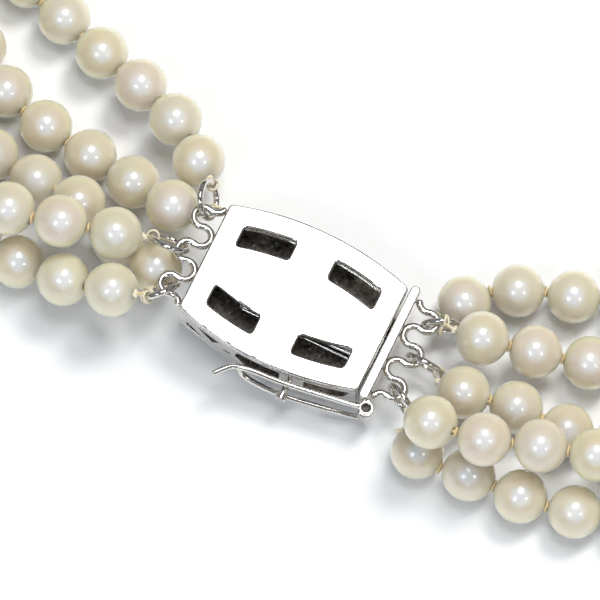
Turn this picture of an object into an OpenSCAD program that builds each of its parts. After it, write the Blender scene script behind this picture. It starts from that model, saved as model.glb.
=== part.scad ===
// Five strand pearl necklace with a barrel shaped box clasp, lying flat as one whole loop.
// Millimetres, +Z up, the surface that it lies on at z = 0, the origin below the middle of the loop.
// +X runs along the clasp from its box to its tongue, and +Y from the clasp to the far side of the loop.
// The clasp lies with its pierced back plate up. Its own frame has the middle of that plate as origin,
// x along the clasp, y to its inner long side and z straight out of the plate.

/* [Pearls and silk] */
// Diameter of a pearl
pearl_d = 5.4; // [5:0.1:5.5]
// Distance from pearl to pearl along a string
pearl_pitch = 5.6; // [5.6:0.1:6.2]
// Diameter of the hole drilled through a pearl
bore_d = 0.9; // [0.7:0.05:1.2]
// Diameter of the silk that the pearls are strung on
silk_d = 0.4; // [0.3:0.05:0.5]
// Clear space between the silk's end loop and the ring wire that it is tied to
tie_gap = 0.1; // [0.05:0.05:0.2]

/* [Lie of the strands] */
// Radius of the lane that the shortest strand lies in
loop_r = 60.5; // [58:0.5:66]
// Clear space between two strands that lie side by side
lane_gap = 1.6; // [1.2:0.1:2]
// Clear space between the top strand and the two strands that it rests on
nest_gap = 0.3; // [0.3:0.05:0.5]

/* [Clasp box] */
// Length of the box
box_len = 19.7; // [18:0.1:22]
// Width of the box at its ends
box_end_w = 11.9; // [11.5:0.1:13]
// Width of the box across its middle
box_mid_w = 15; // [14:0.1:16]
// Height of the box
box_h = 4.9; // [4.5:0.1:5.2]
// Thickness of the back plate
plate_t = 0.7; // [0.5:0.05:0.9]
// Thickness of the plain front plate, which lies face down
front_t = 0.7; // [0.5:0.05:0.9]
// Thickness of the walls
wall_t = 0.7; // [0.5:0.05:0.9]
// How much the four corners are eased
corner_ease = 0.15; // [0.05:0.05:0.3]
// Length of a window in the back plate
window_len = 5.3; // [4.5:0.1:5.5]
// Width of a window, measured across the clasp
window_w = 2.1; // [1.6:0.1:2.4]
// Metal left between a window and the long edge
window_inset = 2.1; // [1.8:0.1:2.4]
// Metal left between the two windows of one side
window_gap = 4.4; // [3.6:0.1:5]

/* [Tongue and spring] */
// Thickness of the bar across the end of the tongue
bar_t = 1; // [0.8:0.05:1.2]
// Gap between the bar and the box
bar_gap = 0.2; // [0.15:0.05:0.4]
// Height of the bar
bar_h = 4.6; // [4:0.1:4.8]
// Width of the folded spring tongue
leaf_w = 5.2; // [4.5:0.1:6]
// Thickness of the metal that the tongue is folded from
leaf_t = 0.4; // [0.3:0.05:0.5]
// Length of the tongue inside the box
leaf_len = 14.8; // [12:0.1:16]
// Depth of the lower leaf below the back plate
leaf_depth = 3.1; // [2.8:0.1:3.3]

/* [Wires and rings] */
// Wire of the wavy end loops
wave_wire_d = 0.75; // [0.6:0.05:0.8]
// Distance from one end loop to the next
wave_pitch = 3.85; // [3.7:0.05:3.9]
// Radius of the bends, to the middle of the wire
wave_bend_r = 1.02; // [1:0.01:1.1]
// Depth of the wavy wires below the back plate
wave_depth = 1.2; // [0.9:0.1:1.6]
// Wire of the jump rings
ring_wire_d = 0.65; // [0.5:0.05:0.7]
// Radius of a jump ring, to the middle of its wire
ring_r = 1.83; // [1.7:0.01:2]

/* [Safety catch] */
// Wire of the catch
catch_wire_d = 0.6; // [0.5:0.05:0.7]
// Running clearance all round the catch's pin in its knuckle
pin_clear = 0.06; // [0.04:0.01:0.1]
// Length of the knuckle that the pin turns in
knuckle_len = 2.1; // [1.6:0.1:2.4]
// Wall of the knuckle
knuckle_wall = 0.4; // [0.3:0.05:0.5]
// Wall of the collar on the catch's pin, which the upper wire starts from
collar_wall = 0.36; // [0.3:0.02:0.36]
// How far the headed peg stands out of the wall
peg_len = 2.2; // [2:0.1:2.4]
// Diameter of the peg
peg_d = 0.7; // [0.6:0.05:0.8]
// Diameter of the peg's head
peg_head_d = 1.15; // [0.9:0.05:1.15]

/* [Hidden] */
// Smoothness of curved edges, and sides of a meshed silk, wire and string
$fn = 48;
silk_sides = 6;
wire_sides = 8;
strand_sides = 12;

// Where the loop's middle and the clasp lie, and how the clasp leans
loop_at = [0, -2, 0];
clasp_at = [-3.3, -70.9, 7];
clasp_pitch = 5.8;
clasp_roll = 6.7;

pearl_r = pearl_d / 2;
lane_step = pearl_d + lane_gap;
nest_z = pearl_r + sqrt(pow(pearl_d + nest_gap, 2) - pow(lane_step / 2, 2));
INNER = 0;
SECOND = 1;
THIRD = 2;
TOP = 3;
OUTER = 4;
// Lane of each strand, counted in lanes from the inside; the top strand nests between two others
LANE = [0, 1, 2, 2.5, 3];
// Chosen points of each strand from its first pearl on, at the tongue's end and at the box's end, in
// pearl diameters from the middle of that end of the clasp and up from the floor
RIGHT_POINTS = [
    [[0.7, 1.56, 0.5], [1.5, 2.2, 0.5], [2.48, 2.52, 0.5]],
    [[1.41, 0.8, 1.07], [2.35, 1.09, 0.78], [3.33, 1.39, 0.57]],
    [[1.52, -0.26, 0.87], [2.48, 0, 0.57], [3.5, 0, 0.5]],
    [[1.33, -1.31, 1.48], [2.37, -1.2, 1.45], [3.35, -0.85, 1.37], [4.35, -0.57, 1.34]],
    [[1.19, -1.56, 0.5], [2.22, -1.57, 0.5], [3.28, -1.57, 0.5], [4.32, -1.43, 0.5]]];
LEFT_POINTS = [
    [[-1.02, 1.9, 1.01], [-1.81, 2.56, 0.85], [-2.74, 3, 0.69], [-3.72, 3.35, 0.57],
        [-4.69, 3.74, 0.5], [-5.69, 4.17, 0.5]],
    [[-1.06, 0.85, 1.02], [-2.02, 1.13, 0.69], [-3.02, 1.37, 0.5], [-3.98, 1.56, 0.5],
        [-5, 1.91, 0.5], [-6.12, 2.8, 0.5]],
    [[-0.85, -0.33, 0.8], [-1.7, -0.02, 0.52], [-2.59, 0.2, 0.94], [-3.56, 0.39, 0.67],
        [-4.57, 0.59, 0.5], [-5.83, 1.22, 0.5], [-6.9, 2.04, 0.5]],
    [[-1.67, -0.31, 1.52], [-2.67, -0.57, 1.65], [-3.7, -0.69, 1.52], [-5.43, 0.3, 1.5],
        [-7.04, 1.57, 1.43]],
    [[-1.3, -1.26, 1.24], [-2.26, -1.3, 0.89], [-3.24, -1.2, 0.56], [-7.39, 1.06, 0.5]]];
// Between those points a strand follows its lane round the far side of the loop
ARC_FROM = 40;
ARC_TO = 300;
ARC_STEP = 20;
SPLINE_STEPS = 10;
// A strand drawn as a tube has a ring at each pearl near the clasp, and then at every few pearls
NEAR_TONGUE = 4;
NEAR_BOX = 10;
RING_EVERY = [1, 3, 1, 1, 2];

// Jump rings at the box's end and at the tongue's end: swing, drop and lean in degrees, which are the way
// that the strands pull a ring, how far it hangs and its turn about that line, then its place in its loop
LEFT_RINGS = [[108, 1, 152, 0.2, 0.1], [183, 0, 150, 0, 0], [241, -28, -25, 0.3, 0.05]];
RIGHT_RINGS = [[24, 29, 0, -0.1, -0.15], [-3, 0, -171, -0.2, -0.1], [-29, -20, 0, -0.25, -0.15]];
// For each strand and end: which ring, and the place round the ring where it is tied, in degrees
RIGHT_TIES = [[0, -65], [0, 110], [1, 30], [2, 25], [2, -10]];
LEFT_TIES = [[0, 20], [0, 100], [2, -90], [1, 5], [2, 0]];

// Outline of the box
half_len = box_len / 2;
side_sag = (box_mid_w - box_end_w) / 2;
side_r = (half_len * half_len + side_sag * side_sag) / (2 * side_sag);
corner_r = norm([half_len, box_end_w / 2]) - corner_ease;
function side_y(x) = side_r - box_mid_w / 2 - sqrt(side_r * side_r - x * x);
// Openings of the gallery, as shares of half the box's length and of its height
GALLERY = [
    [[-0.89, -0.58], [-0.86, -0.56], [-0.62, -0.82], [-0.88, -0.8]],
    [[-0.78, -0.3], [-0.48, -0.34], [-0.56, -0.62]],
    [[-0.45, -0.58], [-0.36, -0.56], [-0.34, -0.66], [-0.43, -0.68]],
    [[-0.27, -0.26], [0.2, -0.24], [0.2, -0.8], [-0.2, -0.8], [-0.3, -0.55]],
    [[0.46, -0.24], [0.92, -0.28], [0.88, -0.6], [0.7, -0.8], [0.46, -0.8]]];

// The catch's pin stands off the corner of the bar, and the peg keeps its distance from the pin
pin_past_bar = 0.25;
pin_off_bar = 1.05;
peg_from_pin = 8.2;
peg_head_t = 0.8;
bar_x = half_len + bar_gap;
bar_end = bar_x + bar_t;
pin_at = [bar_end + pin_past_bar, -box_end_w / 2 - pin_off_bar];
peg_x = pin_at[0] - peg_from_pin;
peg_z = -box_h * 0.53;

// Tongue: the upper leaf springs back from the fold and ends below the back plate
leaf_tip = bar_x - leaf_len;
leaf_gap = 0.35;
leaf_top = plate_t + 0.35;
leaf_rise_x = half_len - 2.2;
slot_side = 0.35;

// Wavy wire: inner bends are soldered to the metal, outer bends are the loops, and its ends stop short
// of the corners by a small turn
wave_sink = 0.15;
wave_end = 20;
wave_in = wave_wire_d / 2 - wave_sink + wave_bend_r;
wave_shift = sqrt(pow(2 * wave_bend_r, 2) - pow(wave_pitch / 2, 2));
wave_out = wave_in + wave_shift;
wave_turn = 180 - acos(wave_shift / (2 * wave_bend_r));
wave_steps = 8;

// Safety catch: pin with a hollow collar on top, upper wire with its tab, lower wire that joins it
pin_top = -1.1;
pin_bottom = -4.5;
knuckle_r = catch_wire_d / 2 + pin_clear + knuckle_wall;
knuckle_mid = -2.5;
collar_r = catch_wire_d / 2 + collar_wall;
collar_bore = 0.38;
collar_top = -0.5;
collar_h = 0.85;
// Points of the wires: back from the pin, out from the middle of the long side, and down
UPPER_START = [-0.5, -0.05, -0.85];
CATCH_UPPER = [[-3.3, 0.05, -1.1], [-8.2, -0.6, -1.3], [-11.9, -0.9, -1.2], [-13.6, -1.2, -1.3],
    [-14.4, -1.8, -1.4], [-15.2, -2.7, -1.5]];
LOWER_START = [0, 0, -4.2];
CATCH_LOWER = [[-0.8, 0.2, -4.1], [-3.3, -0.4, -3.75], [-8.2, -1.2, -3.6], [-11.1, -1.4, -3.1],
    [-12.6, -1.3, -2.6], [-13.1, -1.15, -1.9], [-12.9, -1.08, -1.3]];

// Metal and surface colours
white_gold = [0.86, 0.86, 0.85];
pearl_cream = [0.93, 0.9, 0.8];
silk_cream = [0.9, 0.82, 0.66];

// Small vector and matrix helpers
function unit(v) = v / norm(v);
function turn_x(a) = [[1, 0, 0], [0, cos(a), -sin(a)], [0, sin(a), cos(a)]];
function turn_y(a) = [[cos(a), 0, sin(a)], [0, 1, 0], [-sin(a), 0, cos(a)]];
function turn_z(a) = [[cos(a), -sin(a), 0], [sin(a), cos(a), 0], [0, 0, 1]];
function reversed(list) = [for (i = [len(list) - 1:-1:0]) list[i]];
clasp_turn = turn_y(clasp_pitch) * turn_x(clasp_roll);
function from_clasp(p) = clasp_at + clasp_turn * p;

// One strand's route: right points, the lane's arc, then the left points back to the box
function lane_r(k) = loop_r + LANE[k] * lane_step;
function lane_z(k) = k == TOP ? nest_z : pearl_r;
function end_x(side) = side < 0 ? half_len : bar_end;
function near_clasp(side, p) =
    let (end = from_clasp([side * end_x(side), 0, 0])) [end[0], end[1], 0] + pearl_d * p;
function route_points(k) = [
    for (p = RIGHT_POINTS[k]) near_clasp(1, p),
    for (a = [ARC_FROM:ARC_STEP:ARC_TO]) loop_at + [lane_r(k) * sin(a), -lane_r(k) * cos(a), lane_z(k)],
    for (p = reversed(LEFT_POINTS[k])) near_clasp(-1, p)];

// Smooth curve through points, with tangents weighed by the distances to the neighbours
function leg(p, i) = norm(p[i + 1] - p[i]);
function tangent(p, i) =
    i == 0 ? unit(p[1] - p[0])
    : i == len(p) - 1 ? unit(p[i] - p[i - 1])
    : ((p[i] - p[i - 1]) * leg(p, i) / leg(p, i - 1) + (p[i + 1] - p[i]) * leg(p, i - 1) / leg(p, i))
        / (leg(p, i - 1) + leg(p, i));
function curve_at(a, b, ta, tb, d, t) =
    a * (2 * t * t * t - 3 * t * t + 1) + b * (3 * t * t - 2 * t * t * t)
    + d * (ta * (t * t * t - 2 * t * t + t) + tb * (t * t * t - t * t));
function on_floor(p) = [p[0], p[1], max(p[2], pearl_r)];
function smooth(p) = concat(
    [for (i = [0:len(p) - 2], s = [0:SPLINE_STEPS - 1])
        on_floor(curve_at(p[i], p[i + 1], tangent(p, i), tangent(p, i + 1), leg(p, i), s / SPLINE_STEPS))],
    [on_floor(p[len(p) - 1])]);

// Distance along a curve at each of its points, and the point at a given distance
function distances(q) = [for (i = 0, d = 0; i < len(q);
    d = d + (i + 1 < len(q) ? norm(q[i + 1] - q[i]) : 0), i = i + 1) d];
function table(q, d, axis) = [for (i = [0:len(q) - 1]) [d[i], q[i][axis]]];
function spaced(q, count) =
    let (d = distances(q), tables = [for (axis = [0:2]) table(q, d, axis)], whole = d[len(d) - 1])
    [for (i = [0:count - 1]) [for (axis = [0:2]) lookup(whole * i / (count - 1), tables[axis])]];
function route_length(q) = let (d = distances(q)) d[len(d) - 1];
function pearl_count(q) = 1 + round(route_length(q) / pearl_pitch);

// Jump rings in the clasp's frame, and the places where the silk is tied to them
function ring_angles(side, n) = side < 0 ? LEFT_RINGS[n] : RIGHT_RINGS[n];
function ring_hole(side, n) = let (a = ring_angles(side, n))
    [side * (end_x(side) + wave_out) + a[3], (1 - n) * wave_pitch + a[4], -wave_depth];
function ring_turn(side, n) = let (a = ring_angles(side, n)) turn_z(a[0]) * turn_y(a[1]) * turn_x(a[2]);
function ring_point(side, n, a) =
    from_clasp(ring_hole(side, n) + ring_turn(side, n) * (ring_r * [1 + cos(a), 0, sin(a)]));
function ring_way(side, n, a) = clasp_turn * ring_turn(side, n) * [-sin(a), 0, cos(a)];
function tie(side, k) = side < 0 ? LEFT_TIES[k] : RIGHT_TIES[k];
tie_r = ring_wire_d / 2 + tie_gap + silk_d / 2;
function tie_at(side, k) = let (t = tie(side, k)) ring_point(side, t[0], t[1]);
function tie_axis(side, k) = let (t = tie(side, k)) ring_way(side, t[0], t[1]);
// From the ring's wire towards a pearl, square to the wire
function tie_out(side, k, pearl) =
    let (v = pearl - tie_at(side, k), w = tie_axis(side, k)) unit(v - (v * w) * w);
function tie_exit(side, k, pearl) = tie_at(side, k) + tie_r * tie_out(side, k, pearl);

// Pearl centres of a strand, the way each pearl is drilled, and the silk's path through them
function centres(k) = let (q = smooth(route_points(k))) spaced(q, pearl_count(q));
function drilled_way(p, exits, i) =
    unit((i == len(p) - 1 ? exits[1] : p[i + 1]) - (i == 0 ? exits[0] : p[i - 1]));
function exits_of(k, p) = [tie_exit(1, k, p[0]), tie_exit(-1, k, p[len(p) - 1])];
function silk_path(p, exits) = concat(
    [exits[0]],
    [for (i = [0:len(p) - 1], s = [-1, 1]) p[i] + s * pearl_r * 0.96 * drilled_way(p, exits, i)],
    [exits[1]]);

// Tube swept along a path with a radius at each point, as one closed surface
function way_at(p, i) = unit(p[min(i + 1, len(p) - 1)] - p[max(i - 1, 0)]);
function sweep_points(p, r, sides) = [for (i = [0:len(p) - 1])
    let (w = way_at(p, i), s = unit(cross([0.03, 0.02, 1], w)), b = cross(w, s))
    for (j = [0:sides - 1]) p[i] + r[i] * (cos(360 * j / sides) * s + sin(360 * j / sides) * b)];
function sweep_faces(count, sides) = concat(
    [[for (j = [0:sides - 1]) j]],
    [for (i = [0:count - 2], j = [0:sides - 1])
        let (a = i * sides + j, b = i * sides + (j + 1) % sides) [a, a + sides, b + sides, b]],
    [[for (j = [sides - 1:-1:0]) (count - 1) * sides + j]]);
module sweep(path, radii, sides) {
    polyhedron(points = sweep_points(path, radii, sides), faces = sweep_faces(len(path), sides), convexity = 8);
}
module wire(path, d, sides) {
    sweep(path, [for (p = path) d / 2], sides);
}

module in_clasp() {
    translate(clasp_at) rotate([clasp_roll, clasp_pitch, 0]) children();
}

// Long sides of the box only, then the whole outline, both drawn in by an inset
module sides_outline(inset) {
    intersection_for (s = [-1, 1]) {
        translate([0, s * (side_r - box_mid_w / 2)]) circle(r = side_r - inset, $fn = 180);
    }
}
module box_outline(inset) {
    intersection() {
        sides_outline(inset);
        square([box_len - 2 * inset, box_mid_w], center = true);
        circle(r = corner_r - inset, $fn = 120);
    }
}

// Four windows that follow the long sides
module windows() {
    for (s = [-1, 1]) {
        translate([0, 0, -2 * plate_t]) linear_extrude(3 * plate_t) intersection() {
            difference() {
                sides_outline(window_inset);
                sides_outline(window_inset + window_w);
            }
            translate([s * (window_gap + window_len) / 2, 0]) square([window_len, box_mid_w], center = true);
        }
    }
}

// Gallery cut through both long walls
module gallery() {
    for (shape = GALLERY) {
        rotate([90, 0, 0]) linear_extrude(2 * box_mid_w, center = true)
            polygon([for (p = shape) [p[0] * half_len, p[1] * box_h]]);
    }
}

// Wavy wire with three end loops, soldered to the end of the box or to the bar
function wave_arc(cx, cy, from, to) = [for (i = [0:wave_steps])
    let (a = from + (to - from) * i / wave_steps) [cx + wave_bend_r * cos(a), cy + wave_bend_r * sin(a), -wave_depth]];
function wave_path() = concat(
    wave_arc(wave_in, 1.5 * wave_pitch, 180 + wave_end, 180 + wave_turn),
    wave_tail(wave_arc(wave_out, wave_pitch, wave_turn, -wave_turn)),
    wave_tail(wave_arc(wave_in, 0.5 * wave_pitch, 180 - wave_turn, 180 + wave_turn)),
    wave_tail(wave_arc(wave_out, 0, wave_turn, -wave_turn)),
    wave_tail(wave_arc(wave_in, -0.5 * wave_pitch, 180 - wave_turn, 180 + wave_turn)),
    wave_tail(wave_arc(wave_out, -wave_pitch, wave_turn, -wave_turn)),
    wave_tail(wave_arc(wave_in, -1.5 * wave_pitch, 180 - wave_turn, 180 - wave_end)));
function wave_tail(arc) = [for (i = [1:len(arc) - 1]) arc[i]];
module end_wire(side) {
    wire([for (p = wave_path()) [side * (end_x(side) + p[0]), p[1], p[2]]], wave_wire_d, wire_sides);
}

// Headed peg on the lower long wall
module peg() {
    translate([peg_x, side_y(peg_x) + wall_t / 2, peg_z]) rotate([90, 0, 0]) {
        cylinder(d = peg_d, h = peg_len + wall_t / 2);
        translate([0, 0, peg_len + wall_t / 2 - peg_head_t]) cylinder(d = peg_head_d, h = peg_head_t);
    }
}

module clasp_box() {
    color(white_gold) in_clasp() {
        difference() {
            translate([0, 0, -box_h]) linear_extrude(box_h) box_outline(0);
            translate([0, 0, front_t - box_h]) linear_extrude(box_h - plate_t - front_t) box_outline(wall_t);
            windows();
            gallery();
            translate([half_len - 2 * wall_t, -leaf_w / 2 - slot_side, -leaf_depth - leaf_t - slot_side])
                cube([3 * wall_t, leaf_w + 2 * slot_side, leaf_depth + leaf_t + slot_side - plate_t - 0.2]);
        }
        end_wire(-1);
        peg();
    }
}

// Folded spring tongue seen from the side, as one bent strip
module leaf_profile() {
    polygon([
        [bar_x + bar_t / 2, -leaf_depth - leaf_t], [leaf_tip + leaf_t, -leaf_depth - leaf_t],
        [leaf_tip, -leaf_depth - leaf_t / 2], [leaf_tip, -leaf_depth + leaf_gap + leaf_t / 2],
        [leaf_tip + leaf_t, -leaf_depth + leaf_gap + leaf_t],
        [leaf_rise_x, -leaf_top], [leaf_rise_x, -leaf_top - leaf_t],
        [leaf_tip + leaf_t, -leaf_depth + leaf_gap], [leaf_tip + leaf_t, -leaf_depth],
        [bar_x + bar_t / 2, -leaf_depth]]);
}

module clasp_tongue() {
    color(white_gold) in_clasp() {
        rotate([90, 0, 0]) linear_extrude(leaf_w, center = true) leaf_profile();
        translate([bar_x, -box_end_w / 2, -bar_h]) cube([bar_t, box_end_w, bar_h]);
        for (s = [-1, 1]) {
            translate([bar_x + bar_t / 2, s * box_end_w / 2, -bar_h]) cylinder(d = bar_t, h = bar_h);
        }
        difference() {
            union() {
                translate([pin_at[0], pin_at[1], knuckle_mid - knuckle_len / 2])
                    cylinder(r = knuckle_r, h = knuckle_len);
                translate([bar_x + bar_t / 2, -box_end_w / 2 - bar_t / 2, knuckle_mid - knuckle_len / 2])
                    cube([pin_at[0] - bar_x - bar_t / 2, bar_t / 2, knuckle_len]);
            }
            translate([pin_at[0], pin_at[1], -box_h])
                cylinder(d = catch_wire_d + 2 * pin_clear, h = box_h);
        }
        end_wire(1);
    }
}

function catch_path(start, points) = concat(
    [[pin_at[0], pin_at[1], 0] + start],
    [for (p = points) [pin_at[0], -box_mid_w / 2, 0] + p]);
module safety_catch() {
    color(white_gold) in_clasp() {
        translate([pin_at[0], pin_at[1], 0]) {
            translate([0, 0, pin_bottom]) cylinder(d = catch_wire_d, h = pin_top - pin_bottom);
            difference() {
                translate([0, 0, collar_top - collar_h]) cylinder(r = collar_r, h = collar_h);
                translate([0, 0, pin_top]) cylinder(r = collar_bore, h = box_h);
            }
        }
        wire(catch_path(UPPER_START, CATCH_UPPER), catch_wire_d, wire_sides);
        wire(catch_path(LOWER_START, CATCH_LOWER), catch_wire_d, wire_sides);
    }
}

// Round wire bent into a closed ring about the origin
module round_link(r, d) {
    rotate_extrude() translate([r, 0]) circle(d = d, $fn = 24);
}
module jump_ring(side, n) {
    a = ring_angles(side, n);
    color(white_gold) in_clasp() translate(ring_hole(side, n)) rotate([0, 0, a[0]]) rotate([0, a[1], 0])
        rotate([a[2], 0, 0]) translate([ring_r, 0, 0]) rotate([90, 0, 0]) round_link(ring_r, ring_wire_d);
}

// Turns +Z into a given direction
module along(v) {
    rotate([0, acos(v[2]), atan2(v[1], v[0])]) children();
}
module tied_loop(side, k) {
    translate(tie_at(side, k)) along(tie_axis(side, k)) round_link(tie_r, silk_d);
}

module pearls(k) {
    p = centres(k);
    exits = exits_of(k, p);
    color(pearl_cream) for (i = [0:len(p) - 1]) {
        translate(p[i]) along(drilled_way(p, exits, i)) difference() {
            sphere(d = pearl_d);
            cylinder(d = bore_d, h = 2 * pearl_d, center = true);
        }
    }
}

module thread(k) {
    p = centres(k);
    color(silk_cream) {
        wire(silk_path(p, exits_of(k, p)), silk_d, silk_sides);
        for (side = [-1, 1]) {
            tied_loop(side, k);
        }
    }
}

// A whole string as one round strand with an end like a pearl's, and its silk at both ends
dome = [25, 50, 70];
function ring_pearls(k, count) = concat(
    [for (i = [0:NEAR_TONGUE - 1]) i],
    [for (i = [NEAR_TONGUE:RING_EVERY[k]:count - NEAR_BOX - 1]) i],
    [for (i = [count - NEAR_BOX:count - 1]) i]);
module strand(k) {
    p = centres(k);
    end = len(p) - 1;
    run = [for (i = ring_pearls(k, len(p))) p[i]];
    first = unit(p[0] - p[1]);
    last = unit(p[end] - p[end - 1]);
    path = concat(
        [for (a = dome) p[0] + first * pearl_r * cos(a)],
        run,
        [for (a = reversed(dome)) p[end] + last * pearl_r * cos(a)]);
    radii = concat(
        [for (a = dome) pearl_r * sin(a)],
        [for (v = run) pearl_r],
        [for (a = reversed(dome)) pearl_r * sin(a)]);
    exits = exits_of(k, p);
    color(pearl_cream) {
        sweep(path, radii, strand_sides);
        wire([exits[0], p[0]], silk_d, silk_sides);
        wire([exits[1], p[end]], silk_d, silk_sides);
        for (side = [-1, 1]) {
            tied_loop(side, k);
        }
    }
}

clasp_box();
clasp_tongue();
safety_catch();
jump_ring(-1, 0);  // ring_left_1
jump_ring(-1, 1);  // ring_left_2
jump_ring(-1, 2);  // ring_left_3
jump_ring(1, 0);  // ring_right_1
jump_ring(1, 1);  // ring_right_2
jump_ring(1, 2);  // ring_right_3
pearls(INNER);  // pearls_inner
thread(INNER);  // thread_inner
strand(SECOND);  // strand_second
pearls(THIRD);  // pearls_third
thread(THIRD);  // thread_third
pearls(TOP);  // pearls_top
thread(TOP);  // thread_top
strand(OUTER);  // strand_outer
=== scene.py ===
import math

import bmesh
import bpy
import numpy as np
from mathutils import Matrix


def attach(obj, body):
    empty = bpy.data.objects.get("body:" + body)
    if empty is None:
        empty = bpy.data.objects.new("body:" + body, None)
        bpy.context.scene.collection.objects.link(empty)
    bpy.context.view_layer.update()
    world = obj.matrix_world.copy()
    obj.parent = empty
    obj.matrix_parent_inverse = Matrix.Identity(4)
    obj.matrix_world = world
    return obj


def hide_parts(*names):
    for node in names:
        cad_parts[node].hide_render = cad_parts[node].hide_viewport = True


bl_info = {
    "name": "Five strand pearl necklace",
    "version": (1, 0, 0),
    "blender": (4, 5, 0),
    "location": "3D View > Sidebar > Necklace",
    "description": "Strings the pearls, ties the silk and dresses the box clasp of a pearl necklace",
    "category": "Object",
}

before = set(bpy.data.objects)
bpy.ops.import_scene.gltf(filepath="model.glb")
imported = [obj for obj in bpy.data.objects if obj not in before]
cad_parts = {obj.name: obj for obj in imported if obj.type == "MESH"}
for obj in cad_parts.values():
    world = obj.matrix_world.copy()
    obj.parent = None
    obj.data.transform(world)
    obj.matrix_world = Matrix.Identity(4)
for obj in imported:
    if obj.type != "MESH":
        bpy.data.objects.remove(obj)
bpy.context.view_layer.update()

# Everything is laid out in millimetres in the frame of the part, and written in metres
MM = 0.001

# Strands, those that are tubes in the frame, and their lanes about the middle of the loop; then their
# chosen points near the clasp, in pearl diameters from the middle of that end of it and up from the floor
STRANDS = ("inner", "second", "third", "top", "outer")
TUBES = ("second", "outer")
LANES = (0, 1, 2, 2.5, 3)
LOOP_AT = np.array([0.0, -2.0, 0.0])
NEST_GAP = 0.3
RIGHT_POINTS = (
    ((0.7, 1.56, 0.5), (1.5, 2.2, 0.5), (2.48, 2.52, 0.5)),
    ((1.41, 0.8, 1.07), (2.35, 1.09, 0.78), (3.33, 1.39, 0.57)),
    ((1.52, -0.26, 0.87), (2.48, 0, 0.57), (3.5, 0, 0.5)),
    ((1.33, -1.31, 1.48), (2.37, -1.2, 1.45), (3.35, -0.85, 1.37), (4.35, -0.57, 1.34)),
    ((1.19, -1.56, 0.5), (2.22, -1.57, 0.5), (3.28, -1.57, 0.5), (4.32, -1.43, 0.5)),
)
LEFT_POINTS = (
    ((-1.02, 1.9, 1.01), (-1.81, 2.56, 0.85), (-2.74, 3, 0.69), (-3.72, 3.35, 0.57),
     (-4.69, 3.74, 0.5), (-5.69, 4.17, 0.5)),
    ((-1.06, 0.85, 1.02), (-2.02, 1.13, 0.69), (-3.02, 1.37, 0.5), (-3.98, 1.56, 0.5),
     (-5, 1.91, 0.5), (-6.12, 2.8, 0.5)),
    ((-0.85, -0.33, 0.8), (-1.7, -0.02, 0.52), (-2.59, 0.2, 0.94), (-3.56, 0.39, 0.67),
     (-4.57, 0.59, 0.5), (-5.83, 1.22, 0.5), (-6.9, 2.04, 0.5)),
    ((-1.67, -0.31, 1.52), (-2.67, -0.57, 1.65), (-3.7, -0.69, 1.52), (-5.43, 0.3, 1.5),
     (-7.04, 1.57, 1.43)),
    ((-1.3, -1.26, 1.24), (-2.26, -1.3, 0.89), (-3.24, -1.2, 0.56), (-7.39, 1.06, 0.5)),
)
ARC_ANGLES = range(40, 301, 20)
SPLINE_STEPS = 10

# Clasp: where it lies, how it leans, and the jump rings as swing, drop, lean and place in their loop
CLASP_AT = np.array([-3.3, -70.9, 7.0])
CLASP_PITCH = 5.8
CLASP_ROLL = 6.7
LEFT_RINGS = ((108, 1, 152, 0.2, 0.1), (183, 0, 150, 0, 0), (241, -28, -25, 0.3, 0.05))
RIGHT_RINGS = ((24, 29, 0, -0.1, -0.15), (-3, 0, -171, -0.2, -0.1), (-29, -20, 0, -0.25, -0.15))
RIGHT_TIES = ((0, -65), (0, 110), (1, 30), (2, 25), (2, -10))
LEFT_TIES = ((0, 20), (0, 100), (2, -90), (1, 5), (2, 0))

HALF_LEN = 9.85
END_W = 11.9
MID_W = 15.0
BOX_H = 4.9
PLATE_T = 0.7
PLATE_RIM = 0.2
WALL_T = 0.7
WALL_RIM = 0.05
BAR_X = HALF_LEN + 0.2
BAR_END = BAR_X + 1.0
BAR_H = 4.6
SIDE_SAG = (MID_W - END_W) / 2
SIDE_R = (HALF_LEN ** 2 + SIDE_SAG ** 2) / (2 * SIDE_SAG)
SIDE_Y = SIDE_R - MID_W / 2
WAVE_D = 0.75
WAVE_PITCH = 3.85
BEND_R = 1.02
WAVE_DEPTH = 1.2
WAVE_IN = WAVE_D / 2 - 0.15 + BEND_R
WAVE_SHIFT = math.sqrt((2 * BEND_R) ** 2 - (WAVE_PITCH / 2) ** 2)
WAVE_OUT = WAVE_IN + WAVE_SHIFT
WAVE_TURN = 180 - math.degrees(math.acos(WAVE_SHIFT / (2 * BEND_R)))
RING_D = 0.65
RING_R = 1.83
SILK_D = 0.4
TIE_R = RING_D / 2 + 0.1 + SILK_D / 2
TIE_SHIFT = 0.11
TIE_LEAN = 0.1
KNOT_R = 0.58
KNOT_HALF = 0.17
END_KNOT_R = 0.45
END_KNOT_HALF = 0.26
CATCH_D = 0.6
PIN_AT = np.array([BAR_END + 0.25, -END_W / 2 - 1.05, 0.0])
PEG_X = PIN_AT[0] - 8.2


# Vectors and turns

def cosd(angle):
    return math.cos(math.radians(angle))


def sind(angle):
    return math.sin(math.radians(angle))


def unit(v):
    return v / np.linalg.norm(v, axis=-1, keepdims=True)


def strides(points):
    """Distances from point to point."""
    return np.linalg.norm(points[1:] - points[:-1], axis=1)


def run_of(points):
    """Distance of each point from the first, along the line of them."""
    return np.concatenate([[0], np.cumsum(strides(points))])


def turn_x(a):
    return np.array([[1, 0, 0], [0, cosd(a), -sind(a)], [0, sind(a), cosd(a)]])


def turn_y(a):
    return np.array([[cosd(a), 0, sind(a)], [0, 1, 0], [-sind(a), 0, cosd(a)]])


def turn_z(a):
    return np.array([[cosd(a), -sind(a), 0], [sind(a), cosd(a), 0], [0, 0, 1]])


CLASP_TURN = turn_y(CLASP_PITCH) @ turn_x(CLASP_ROLL)


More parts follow.
